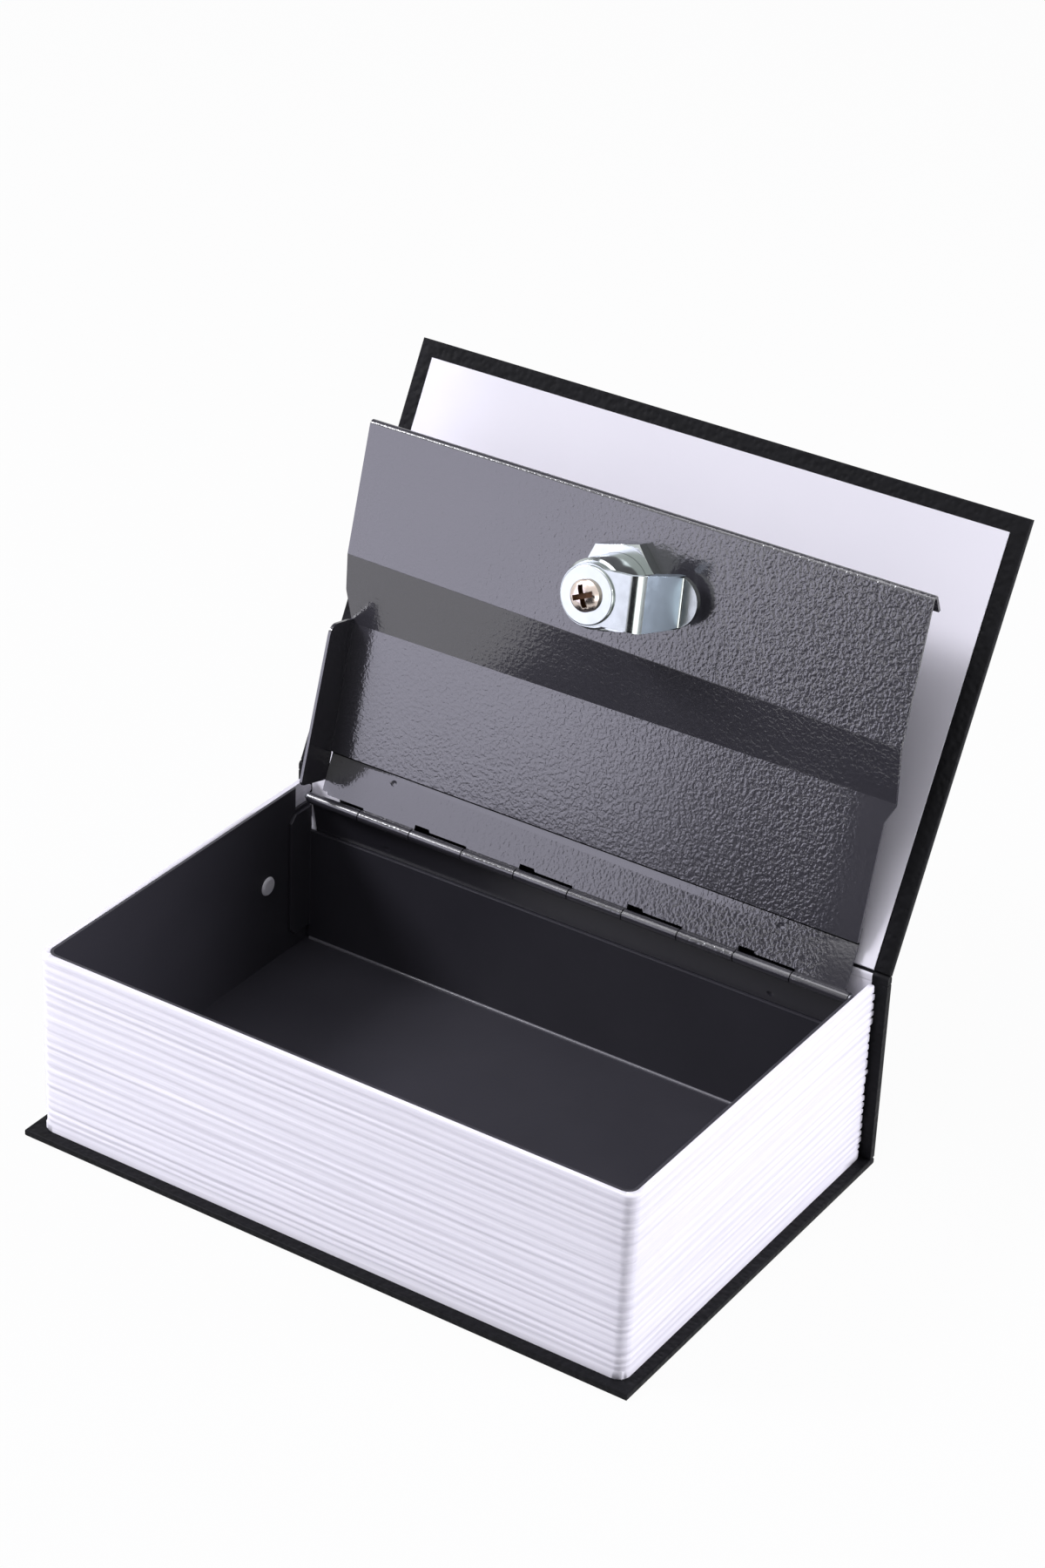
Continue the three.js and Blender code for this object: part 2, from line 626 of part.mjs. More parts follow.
function addLockHousing() {
  const profile = [[0, headFace], [HEAD_R - 1, headFace], [HEAD_R, headFace + 0.8]];
  profile.push([HEAD_R, lockOuter], [0, lockOuter]);
  const flats = BARREL_FLATS / 2;
  const rounded = [[0, headFace + 1], [BARREL_R, headFace + 1], [BARREL_R, barrelEnd - 0.6]];
  rounded.push([BARREL_R - 0.6, barrelEnd], [0, barrelEnd]);
  const barrel = turned(rounded).intersect(box([-flats, -BEYOND, -BEYOND], [flats, BEYOND, BEYOND]));
  let body = turned(profile).add(barrel);
  body = body.subtract(bar(PLUG_R + RUNNING_FIT, headFace - 1, barrelEnd + 1, 40));
  body = body.subtract(bar(PLUG_HEAD_R + RUNNING_FIT, headFace - 1, headFace + PLUG_HEAD + 0.1, 40));
  add("lock_housing", body, "zinc", onLock);
}

function addLockNut() {
  const half = NUT_FLATS / 2;
  const corner = half / Math.cos(Math.PI / 6);
  const low = lockFace;
  const high = low + NUT_HEIGHT;
  const hexagon = Array.from({ length: 6 }, (_, i) => {
    const angle = radians(NUT_TURN_DEG + 60 * i);
    return [corner * Math.cos(angle), corner * Math.sin(angle)];
  });
  const blank = turned([[0, low], [corner, low], [corner, high - 0.7], [half, high], [0, high]]);
  const body = prism(hexagon, low - 1, high + 1).intersect(blank);
  add("lock_nut", body.subtract(bar(BARREL_R + SEAT, low - 1, high + 1, 40)), "zinc", onLock);
}

function waferHeight(i) {
  return WAFER.first + i * WAFER.pitch;
}

function addLockPlug() {
  const headTop = headFace + PLUG_HEAD;
  const profile = [[0, headFace], [PLUG_HEAD_R - 0.3, headFace], [PLUG_HEAD_R, headFace + 0.3]];
  profile.push([PLUG_HEAD_R, headTop], [PLUG_R, headTop], [PLUG_R, camLow], [0, camLow]);
  const square = TAIL_SQUARE / 2;
  const tailEnd = camTop - 0.2;
  let body = turned(profile, 40).add(box([-square, -square, camLow - 1], [square, square, tailEnd]));
  const slot = KEYWAY.width / 2;
  const keyEnd = headFace + KEYWAY.length;
  body = body.subtract(box([-slot, -KEYWAY.height / 2, headFace - 1], [slot, KEYWAY.height / 2, keyEnd]));
  for (let i = 0; i < WAFERS; i += 1) {
    const low = waferHeight(i) - 0.1;
    const half = WAFER.half + 0.1;
    body = body.subtract(box([-half, -PLUG_R - 1, low], [half, PLUG_R + 1, low + WAFER.steel + 0.2]));
  }
  body = body.subtract(bar(SCREW.shank + SEAT, camTop - SCREW.length - 0.5, camTop + 1, 24));
  add("lock_plug", body, "brass", onCam);
}

function addWafers() {
  for (let i = 0; i < WAFERS; i += 1) {
    const low = waferHeight(i);
    const high = low + WAFER.steel;
    const [width, height] = WAFER.window;
    const shift = 0.6 * (spread(i + 7) - 0.5);
    const slab = box([-WAFER.half, -BEYOND, low - 1], [WAFER.half, BEYOND, high + 1]);
    let body = bar(PLUG_R - 0.2, low, high, 40).intersect(slab);
    const window = box([-width / 2, shift - height / 2, low - 1], [width / 2, shift + height / 2, high + 1]);
    body = body.subtract(window);
    add(`wafer_${i + 1}`, body, "brass", onCam);
  }
}

// The cam: a folded strip cut to its plan, with an eye over the plug and a rounded foot.
function addCam() {
  const mid = camTop - CAM_STEEL / 2;
  const foot = camFootTop - CAM_STEEL / 2;
  const path = [[-BEYOND, mid], [CAM_FOLD, mid, CAM_FOLD_R], [CAM_TOE, foot, CAM_TOE_R], [BEYOND, foot]];
  const strip = foldedSheet(path, 0, CAM_STEEL);
  const across = ruled(strip, strip, -CAM_EYE_R - 1, CAM_EYE_R + 1);
  const turn = new THREE.Matrix4().makeRotationZ(-Math.PI / 2).elements;
  const { neck, leg, knee: broad, tip } = CAM_HALF_WIDTHS;
  const right = [[0, -neck], [CAM_FOLD - 2.3, -leg], [CAM_FOLD + 1.2, -broad], [CAM_TOE + 0.4, -tip]];
  const left = [...right].reverse().map(([x, y]) => [x, -y]);
  const round = Array.from({ length: 15 }, (_, i) => {
    const angle = -Math.PI / 2 + (Math.PI * (i + 1)) / 16;
    return [camTip - tip + tip * Math.cos(angle), tip * Math.sin(angle)];
  });
  const cut = prism([...right, ...round, ...left], 0, 2 * BEYOND).add(bar(CAM_EYE_R, 0, 2 * BEYOND, 40));
  const square = TAIL_SQUARE / 2 + SEAT;
  let body = across.transform(turn).intersect(cut);
  body = body.subtract(box([-square, -square, camLow - 1], [square, square, camTop + 1]));
  add("cam", body, "zinc", onCam);
}

function addCamFixings() {
  const washerTop = camTop + WASHER.height;
  const ring = [[0, camTop], [WASHER.r, camTop], [WASHER.r, washerTop - 0.25]];
  ring.push([WASHER.r - 0.25, washerTop], [0, washerTop]);
  add("cam_washer", turned(ring).subtract(bar(WASHER.bore, camTop - 1, washerTop + 1, 28)), "zinc", onCam);
  const top = washerTop + SCREW.height;
  const shankEnd = camTop - SCREW.length;
  const profile = [[0, shankEnd], [SCREW.shank, shankEnd], [SCREW.shank, washerTop]];
  profile.push([SCREW.r, washerTop], [SCREW.r, washerTop + 0.9], [SCREW.r * 0.86, washerTop + 1.6]);
  profile.push([SCREW.r * 0.5, top], [0, top]);
  let body = turned(profile, 36);
  const { slot, slotReach, turnDeg } = SCREW;
  [[slotReach, slot], [slot, slotReach]].forEach(([a, b]) => {
    body = body.subtract(box([-a, -b, washerTop + 0.5], [a, b, top + 1]));
  });
  const tilt = new THREE.Matrix4().makeRotationZ(radians(turnDeg)).elements;
  add("cam_screw", body.transform(tilt), "brass", onCam);
}

addCase();
addShell();
addTray();
addBackPlate();
addShellPins();
addHinge();
addLid();
addLockHousing();
addLockNut();
addLockPlug();
addWafers();
addCam();
addCamFixings();

export default parts;
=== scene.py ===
import json
import math

import bpy
from mathutils import Matrix, Vector


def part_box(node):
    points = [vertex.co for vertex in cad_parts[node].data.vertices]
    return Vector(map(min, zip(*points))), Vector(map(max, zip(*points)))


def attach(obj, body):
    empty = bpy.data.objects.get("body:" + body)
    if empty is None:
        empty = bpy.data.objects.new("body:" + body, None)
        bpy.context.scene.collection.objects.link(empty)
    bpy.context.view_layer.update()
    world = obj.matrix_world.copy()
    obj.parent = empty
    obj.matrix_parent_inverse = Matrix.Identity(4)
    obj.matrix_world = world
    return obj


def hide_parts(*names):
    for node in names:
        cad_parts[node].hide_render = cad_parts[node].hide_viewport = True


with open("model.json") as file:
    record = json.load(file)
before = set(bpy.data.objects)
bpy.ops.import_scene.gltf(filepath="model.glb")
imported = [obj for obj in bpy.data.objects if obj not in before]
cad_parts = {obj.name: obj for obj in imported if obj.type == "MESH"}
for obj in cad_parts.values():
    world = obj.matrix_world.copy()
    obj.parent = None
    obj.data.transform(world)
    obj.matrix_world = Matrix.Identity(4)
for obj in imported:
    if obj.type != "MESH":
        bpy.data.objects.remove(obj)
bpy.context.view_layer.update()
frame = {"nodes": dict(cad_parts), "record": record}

bl_info = {
    "name": "Book diversion safe",
    "version": (1, 0, 0),
    "blender": (4, 5, 0),
    "location": "3D View > Sidebar > Book safe",
    "description": "Dresses a dummy hardback book with a steel cash box inside",
    "category": "Object",
}

MM = 0.001

# Thickness of the tray's sheet steel
PLATE_STEEL = 1 * MM

# Distance from the lid's hinge to the edge of its panel, and the width of the painted shade line under that
# edge
LID_LAP = 13.6 * MM
LAP_SHADE = 0.5 * MM

JOINTS = {joint["name"]: joint for joint in frame["record"]["behaviour"]["joints"]}
COVER_AXIS = Vector(JOINTS["cover_hinge"]["pos_m"])
COVER_OPEN = math.radians(JOINTS["cover_hinge"]["range_deg"][1])
LID_AXIS = Vector(JOINTS["lid_hinge"]["pos_m"])
LID_OPEN = math.radians(JOINTS["lid_hinge"]["range_deg"][1])
LOCK_AXIS = Vector(JOINTS["cam_turn"]["axis"])
LOCK_PLACE = Vector(JOINTS["cam_turn"]["pos_m"])


def opened(axis, angle):
    """Frame of a hinged panel: Y runs from its hinge along it, Z points into the box."""
    return Matrix.Translation(axis) @ Matrix.Rotation(math.pi - angle, 4, "X")


ON_COVER = opened(COVER_AXIS, COVER_OPEN)
ON_LID = opened(LID_AXIS, LID_OPEN)


# Colours and nodes


def linear(hex_colour):
    """Linear RGBA of an sRGB colour written as #rrggbb."""
    channels = [int(hex_colour[i : i + 2], 16) / 255 for i in (1, 3, 5)]
    bent = [c / 12.92 if c <= 0.04045 else ((c + 0.055) / 1.055) ** 2.4 for c in channels]
    return (*bent, 1.0)


def add_node(tree, kind, settings=None, links=None):
    """Adds one shader node, sets its properties or input values, and links its inputs."""
    node = tree.nodes.new(kind)
    for key, value in (settings or {}).items():
        if isinstance(key, str) and hasattr(node, key):
            setattr(node, key, value)
        else:
            node.inputs[key].default_value = value
    for key, source in (links or {}).items():
        tree.links.new(source, node.inputs[key])
    return node


def new_material(name):
    """A named material with an empty node tree."""
    material = bpy.data.materials.new(name)
    material.use_nodes = True
    material.node_tree.nodes.clear()
    return material


def show(tree, shader):
    """Shows a shader on the material's surface."""
    add_node(tree, "ShaderNodeOutputMaterial", {}, {"Surface": shader.outputs[0]})


def surface(tree, settings, links):
    """Shows the finished surface: its even values, and the patterns that drive the others."""
    show(tree, add_node(tree, "ShaderNodeBsdfPrincipled", settings, links))


def blend_colours(tree, factor, low, high):
    """A colour between two hex colours, by a factor from 0 to 1."""
    settings = {"data_type": "RGBA", "A": linear(low), "B": linear(high)}
    return add_node(tree, "ShaderNodeMix", settings, {"Factor": factor}).outputs["Result"]


def ramp(tree, value, span, result):
    """A value carried from one span onto another, and held at its ends."""
    settings = {"From Min": span[0], "From Max": span[1], "To Min": result[0], "To Max": result[1]}
    return add_node(tree, "ShaderNodeMapRange", settings, {"Value": value}).outputs["Result"]


# Finishes


def leatherette(colour):
    """Embossed black leatherette on greyboard: a fine pebbled grain, with its tone and gloss drifting in
    small patches.
    """
    pebble = 1.5 * MM
    wear = 3.5 * MM
    grain_depth = 0.35 * MM
    tree = new_material("leatherette_embossed").node_tree
    place = {"Vector": add_node(tree, "ShaderNodeTexCoord").outputs["Object"]}
    grain = add_node(tree, "ShaderNodeTexVoronoi", {"Scale": 1 / pebble, "feature": "SMOOTH_F1"}, place)
    drift = add_node(tree, "ShaderNodeTexNoise", {"Scale": 1 / wear, "Detail": 5}, place).outputs["Fac"]
    relief = {"Strength": 0.8, "Distance": grain_depth}
    bump = add_node(tree, "ShaderNodeBump", relief, {"Height": grain.outputs["Distance"]})
    patterns = {
        "Base Color": blend_colours(tree, drift, colour, "#17171a"),
        "Roughness": ramp(tree, drift, (0, 1), (0.45, 0.7)),
        "Normal": bump.outputs["Normal"],
    }
    surface(tree, {"IOR": 1.2}, patterns)


def endpaper_stock(colour):
    """Uncoated endpaper: nearly even white with the faintest fibre and tooth."""
    fibre_length = 0.7 * MM
    cloud_width = 40 * MM
    tooth_depth = 0.05 * MM
    tree = new_material("endpaper_uncoated").node_tree
    place = {"Vector": add_node(tree, "ShaderNodeTexCoord").outputs["Object"]}
    fine = {"Scale": 1 / fibre_length, "Detail": 5, "Roughness": 0.7}
    fibre = add_node(tree, "ShaderNodeTexNoise", fine, place).outputs["Fac"]
    broad = {"Scale": 1 / cloud_width, "Detail": 2}
    cloud = add_node(tree, "ShaderNodeTexNoise", broad, place).outputs["Fac"]
    bump = add_node(tree, "ShaderNodeBump", {"Strength": 0.12, "Distance": tooth_depth}, {"Height": fibre})
    tone = blend_colours(tree, cloud, colour, "#f0eef6")
    surface(tree, {"Roughness": 0.82, "IOR": 1.45}, {"Base Color": tone, "Normal": bump.outputs["Normal"]})


def page_plastic(colour):
    """Moulded off-white polypropylene: satin, with fine streaks along the page ridges."""
    streak_length = 60 * MM
    streak_height = 0.7 * MM
    streak_depth = 0.15 * MM
    tree = new_material("page_polypropylene").node_tree
    place = {"Vector": add_node(tree, "ShaderNodeTexCoord").outputs["Object"]}
    stretch = (1 / streak_length, 1 / streak_length, 1 / streak_height)
    along = {"Vector": add_node(tree, "ShaderNodeMapping", {"Scale": stretch}, place).outputs["Vector"]}
    fine = {"Scale": 1.0, "Detail": 3, "Roughness": 0.6}
    streak = add_node(tree, "ShaderNodeTexNoise", fine, along).outputs["Fac"]
    bump = add_node(tree, "ShaderNodeBump", {"Strength": 0.6, "Distance": streak_depth}, {"Height": streak})
    tone = blend_colours(tree, streak, "#cfcdd8", colour)
    surface(tree, {"Roughness": 0.5, "IOR": 1.45}, {"Base Color": tone, "Normal": bump.outputs["Normal"]})


def black_paint(name, colour, roughness, ior):
    """Black paint on sheet steel: smooth, with a slight orange peel."""
    peel_width = 1.1 * MM
    cloud_width = 25 * MM
    peel_depth = 0.06 * MM
    tree = new_material(name).node_tree
    place = {"Vector": add_node(tree, "ShaderNodeTexCoord").outputs["Object"]}
    peel = add_node(tree, "ShaderNodeTexNoise", {"Scale": 1 / peel_width, "Detail": 2}, place).outputs["Fac"]
    broad = {"Scale": 1 / cloud_width, "Detail": 3}
    cloud = add_node(tree, "ShaderNodeTexNoise", broad, place).outputs["Fac"]
    bump = add_node(tree, "ShaderNodeBump", {"Strength": 0.25, "Distance": peel_depth}, {"Height": peel})
    tone = blend_colours(tree, cloud, colour, "#35343b")
    gloss = {"Roughness": roughness, "IOR": ior}
    surface(tree, gloss, {"Base Color": tone, "Normal": bump.outputs["Normal"]})


def wrinkle_strength(tree, place):
    """Strength of the wrinkle over the lid: it grows to the right, but fades at the low right end."""
    coarsening = (22 * MM, 62 * MM)
    fading = (65 * MM, 75 * MM)
    lock_panel = (100 * MM, 106 * MM)
    parts = add_node(tree, "ShaderNodeSeparateXYZ", {}, {0: place}).outputs
    coarse = ramp(tree, parts["X"], coarsening, (0.3, 0.85))
    inside_end = ramp(tree, parts["X"], fading, (1.0, 0.1))
    upper = ramp(tree, parts["Z"], lock_panel, (0.0, 1.0))
    spread = add_node(tree, "ShaderNodeMath", {"operation": "MAXIMUM"}, {0: inside_end, 1: upper}).outputs[0]
    return add_node(tree, "ShaderNodeMath", {"operation": "MULTIPLY"}, {0: coarse, 1: spread}).outputs[0]


def powder_coat(name, colour, ior):
    """Grey textured powder coat: its gloss is broken up by a fine wrinkle with rounded crests."""
    wrinkle_width = 0.95 * MM
    wrinkle_depth = 0.055 * MM
    cloud_width = 30 * MM
    tree = new_material(name).node_tree
    place = add_node(tree, "ShaderNodeTexCoord").outputs["Object"]
    fine = {"Scale": 1 / wrinkle_width, "Detail": 1.0, "Distortion": 0.35}
    wrinkle = add_node(tree, "ShaderNodeTexNoise", fine, {"Vector": place}).outputs["Fac"]
    rounded = {"From Min": 0.3, "From Max": 0.7, "interpolation_type": "SMOOTHSTEP"}
    crest = add_node(tree, "ShaderNodeMapRange", rounded, {"Value": wrinkle}).outputs["Result"]
    relief = {"Height": crest, "Strength": wrinkle_strength(tree, place)}
    bump = add_node(tree, "ShaderNodeBump", {"Distance": wrinkle_depth}, relief)
    broad = {"Scale": 1 / cloud_width, "Detail": 2}
    cloud = add_node(tree, "ShaderNodeTexNoise", broad, {"Vector": place}).outputs["Fac"]
    tone = blend_colours(tree, cloud, colour, "#3d3c42")
    surface(tree, {"Roughness": 0.13, "IOR": ior}, {"Base Color": tone, "Normal": bump.outputs["Normal"]})


def paint_lap_shade(colour):
    """Painted shade: dark steel in the lap under the lid's edge, standing in for the shadow of that edge."""
    tree = new_material("lap_painted_shade").node_tree
    surface(tree, {"Base Color": linear(colour), "Roughness": 0.8, "IOR": 1.2}, {})


def paint_seam_highlight(colour):
    """Glossy paint on the seam bead, coloured paler than the tray: a painted highlight, so that it shows as
    a pale line.
    """
    tree = new_material("seam_painted_highlight").node_tree
    surface(tree, {"Base Color": linear(colour), "Roughness": 0.22, "IOR": 1.6}, {})


def plated(name, colour, roughness, waviness):
    """Bright metal: a clear reflection, softened a little by the rolled sheet underneath."""
    wave_width = 2.2 * MM
    wave_depth = 0.03 * MM
    haze = (roughness * 0.7, roughness * 1.5)
    tree = new_material(name).node_tree
    place = {"Vector": add_node(tree, "ShaderNodeTexCoord").outputs["Object"]}
    wave = add_node(tree, "ShaderNodeTexNoise", {"Scale": 1 / wave_width, "Detail": 3}, place).outputs["Fac"]
    bump = add_node(tree, "ShaderNodeBump", {"Strength": waviness, "Distance": wave_depth}, {"Height": wave})
    patterns = {"Roughness": ramp(tree, wave, (0, 1), haze), "Normal": bump.outputs["Normal"]}
    surface(tree, {"Base Color": linear(colour), "Metallic": 1.0}, patterns)


# Modelling helpers


def only(obj):
    """Leaves one object selected and active."""
    bpy.ops.object.select_all(action="DESELECT")
    obj.select_set(True)
    bpy.context.view_layer.objects.active = obj


def finish(name):
    """The material of a finish that the first operator made."""
    return bpy.data.materials[name]


def paint(node, material):
    """Gives a CAD node its material."""
    data = frame["nodes"][node].data
    data.materials.clear()
    data.materials.append(material)


def dress(obj, name, body, material, replaces=()):
    """Names a finished piece, puts its place in its mesh and gives it to its body."""
    only(obj)
    bpy.ops.object.transform_apply(location=True, rotation=True, scale=True)
    obj.name = name
    obj.data.name = name
    obj.data.materials.clear()
    obj.data.materials.append(material)
    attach(obj, body)
    if replaces:
        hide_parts(*replaces)


def tint_faces(obj, material, inside):
    """Gives a second material to the faces of a finished piece whose centres lie inside a region."""
    obj.data.materials.append(material)
    for face in obj.data.polygons:
        if inside(face.center):
            face.material_index = len(obj.data.materials) - 1


def within(value, span):
    return span[0] < value < span[1]


def apply_modifier(obj, kind, **settings):
    only(obj)
    modifier = obj.modifiers.new(kind.title(), kind)
    for key, value in settings.items():
        setattr(modifier, key, value)
    bpy.ops.object.modifier_apply(modifier=modifier.name)


def shade_smooth(obj, degrees):
    """Smooth shading, apart from the edges that are sharper than an angle."""
    only(obj)
    bpy.ops.object.shade_smooth_by_angle(angle=math.radians(degrees))


def cad_copy(node):
    """A copy of a CAD node with its doubled vertices merged and its flat faces whole again."""
    merge_distance = 0.002 * MM
    flat_angle = math.radians(0.6)
    source = frame["nodes"][node]
    copy = source.copy()
    copy.data = source.data.copy()
    copy.parent = None
    copy.matrix_world = source.matrix_world.copy()
    bpy.context.scene.collection.objects.link(copy)
    only(copy)
    bpy.ops.object.mode_set(mode="EDIT")
    bpy.ops.mesh.select_all(action="SELECT")
    bpy.ops.mesh.remove_doubles(threshold=merge_distance)
    bpy.ops.mesh.dissolve_limited(angle_limit=flat_angle)
    bpy.ops.object.mode_set(mode="OBJECT")
    return copy


def recut(node, soften):
    """A copy of a CAD node with its sharp edges softened."""
    sharp = math.radians(35)
    copy = cad_copy(node)
    apply_modifier(copy, "BEVEL", width=soften, segments=2, limit_method="ANGLE", angle_limit=sharp)
    shade_smooth(copy, 30)
    apply_modifier(copy, "WEIGHTED_NORMAL", weight=100, keep_sharp=True)
    return copy


def every(step, low, high):
    """The multiples of a step between two places."""
    return [step * i for i in range(math.ceil(low / step), math.ceil(high / step))]


def cut_at(obj, places, normal):
    """Cuts the whole mesh through each place, square to one direction, and keeps both sides."""
    only(obj)
    bpy.ops.object.mode_set(mode="EDIT")
    for place in places:
        bpy.ops.mesh.select_all(action="SELECT")
        bpy.ops.mesh.bisect(plane_co=place, plane_no=normal)
    bpy.ops.object.mode_set(mode="OBJECT")


def ripple(obj, group, direction, strength, spacing):
    """Pushes the vertices of a group along one direction by a smooth noise with its spacing per axis."""
    bpy.ops.object.empty_add(location=(3 * MM, 7 * MM, 11 * MM))
    guide = bpy.context.active_object
    guide.scale = spacing
    bpy.context.view_layer.update()
    texture = bpy.data.textures.new("ripple", "CLOUDS")
    texture.noise_scale = 1.0
    apply_modifier(
        obj,
        "DISPLACE",
        texture=texture,
        texture_coords="OBJECT",
        texture_coords_object=guide,
        direction=direction,
        strength=strength,
        mid_level=0.5,
        vertex_group=group,
    )
    only(guide)
    bpy.ops.object.delete()


# Sizes and colours that a user may change


class BookSafeFinishes(bpy.types.PropertyGroup):
    cover_colour: bpy.props.StringProperty(name="Cover", description="Leatherette colour", default="#060608")
    paper_colour: bpy.props.StringProperty(name="Endpaper", description="Paper colour", default="#e8e6ef")
    page_colour: bpy.props.StringProperty(name="Pages", description="Page shell colour", default="#f5f3fa")
    tray_colour: bpy.props.StringProperty(name="Tray", description="Steel tray colour", default="#2b2a31")
    lid_colour: bpy.props.StringProperty(name="Lid", description="Powder coat colour", default="#37363c")
    edge_softness: bpy.props.FloatProperty(
        name="Sheet edge radius",
        description="Radius on the cut edges of the sheet steel",
        default=0.18 * MM,
        min=0.0,
        subtype="DISTANCE",
        unit="LENGTH",
    )


class BOOKSAFE_OT_materials(bpy.types.Operator):
    """Makes every finish of the book safe"""

    bl_idname = "book_safe.materials"
    bl_label = "Finishes"

    def execute(self, context):
        look = context.scene.book_safe_finishes
        leatherette(look.cover_colour)
        endpaper_stock(look.paper_colour)
        page_plastic(look.page_colour)
        black_paint("tray_satin_paint", look.tray_colour, roughness=0.4, ior=1.45)
        black_paint("hinge_gloss_paint", look.tray_colour, roughness=0.22, ior=1.9)
        powder_coat("lid_powder_coat", look.lid_colour, ior=1.9)
        powder_coat("leaf_powder_coat", look.lid_colour, ior=1.8)
        # Painted shade for the lap under the lid's edge
        paint_lap_shade("#0b0b0d")
        # Painted highlight: pale colour for the seam bead
        paint_seam_highlight("#66656c")
        plated("zinc_bright", "#b9bfbe", roughness=0.14, waviness=0.25)
        plated("zinc_cam", "#b4bab9", roughness=0.18, waviness=0.3)
        # Painted reflection: bluish zinc for the cam's leg
        plated("cam_leg_painted_reflection", "#a7b4c2", roughness=0.32, waviness=0.6)
        plated("zinc_yellow", "#d9cbc2", roughness=0.22, waviness=0.3)
        # Painted shade: dark bronze for the screw's recess walls
        plated("recess_painted_shade", "#5d4534", roughness=0.45, waviness=0.4)
        plated("brass_machined", "#b79a5c", roughness=0.28, waviness=0.2)
        plated("wire_drawn", "#8f9196", roughness=0.3, waviness=0.2)
        return {"FINISHED"}


class BOOKSAFE_OT_boards(bpy.types.Operator):
    """Book boards and their cloth joint"""

    bl_idname = "book_safe.boards"
    bl_label = "Boards"

    def execute(self, context):
        # How far inside the hinge's ends the spine's paper begins; the black middle left bare is painted
        # shade
        painted_shade_inset = 6 * MM
        steel_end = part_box("hinge_leaf_box")[1][0]
        self.wrapped("bottom_board", "box")
        # The spine keeps its black leatherette behind the hinge: painted shade for the dark seen through the
        # hinge's slots
        self.paper_over(self.wrapped("spine_board", "box"), steel_end - painted_shade_inset)
        self.paper_over(self.wrapped("spine_joint", "box"), 0)
        self.paper_turned(self.wrapped("front_board", "cover"))
        paint("endpaper", finish("endpaper_uncoated"))
        return {"FINISHED"}

    def wrapped(self, node, body):
        """A board in its leatherette."""
        board = cad_copy(node)
        shade_smooth(board, 50)
        apply_modifier(board, "WEIGHTED_NORMAL", weight=100, keep_sharp=True)
        dress(board, f"{node}_wrapped", body, finish("leatherette_embossed"), (node,))
        return board

    def paper_over(self, board, start):
        """Carries the endpaper on over the cloth, from a distance on each side of the middle."""
        paper_rise = 0.7 * MM
        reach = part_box("endpaper")[1][0]
        top = COVER_AXIS[2] + paper_rise
        cut_at(board, [(side, 0, 0) for side in (-reach, -start, start, reach)], (1, 0, 0))

        def papered(point):
            return within(abs(point[0]), (start, reach)) and point[1] < COVER_AXIS[1] and point[2] < top

        tint_faces(board, finish("endpaper_uncoated"), papered)

    def paper_turned(self, board):
        """Carries the endpaper down to the board's hinged edge, as the CAD sheet stops a little short."""
        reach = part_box("endpaper")[1][0]
        sheet_start = 1.4 * MM
        cut_at(board, [(-reach, 0, 0), (reach, 0, 0)], (1, 0, 0))
        cut_at(board, [ON_COVER @ Vector((0, sheet_start, 0))], ON_COVER.to_3x3() @ Vector((0, 1, 0)))
        to_cover = ON_COVER.inverted()

        def by_hinge(point):
            place = to_cover @ point
            return abs(point[0]) < reach and place[1] < sheet_start and place[2] > 0

        tint_faces(board, finish("endpaper_uncoated"), by_hinge)


class BOOKSAFE_OT_shell(bpy.types.Operator):
    """Ridged page shell and its pins"""

    bl_idname = "book_safe.shell"
    bl_label = "Page shell"

    def execute(self, context):
        plastic = finish("page_polypropylene")
        shell = cad_copy("page_shell")
        self.wave(shell)
        shade_smooth(shell, 40)
        dress(shell, "page_shell_wavy", "box", plastic, ("page_shell",))
        for node in frame["nodes"]:
            if node.startswith("shell_pin"):
                paint(node, plastic)
        return {"FINISHED"}

    def wave(self, shell):
        """Slight waves along the ridges on the outside, as in the edges of real pages."""
        low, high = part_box("page_shell")
        step = 6 * MM
        edge = 1.2 * MM
        skin = 0.6 * MM
        wave_height = 0.8 * MM
        wave_spacing = (34 * MM, 34 * MM, 7 * MM)
        cut_at(shell, [(x, 0, 0) for x in every(step, low[0], high[0])], (1, 0, 0))
        cut_at(shell, [(0, y, 0) for y in every(step, low[1], high[1])], (0, 1, 0))
        group = shell.vertex_groups.new(name="pages")
        for vertex in shell.data.vertices:
            x, y, z = vertex.co
            outside = abs(x) > high[0] - skin or y < low[1] + skin
            if outside and within(z, (low[2] + edge, high[2] - edge)):
                group.add([vertex.index], 1.0, "REPLACE")
        ripple(shell, "pages", "Z", wave_height, wave_spacing)


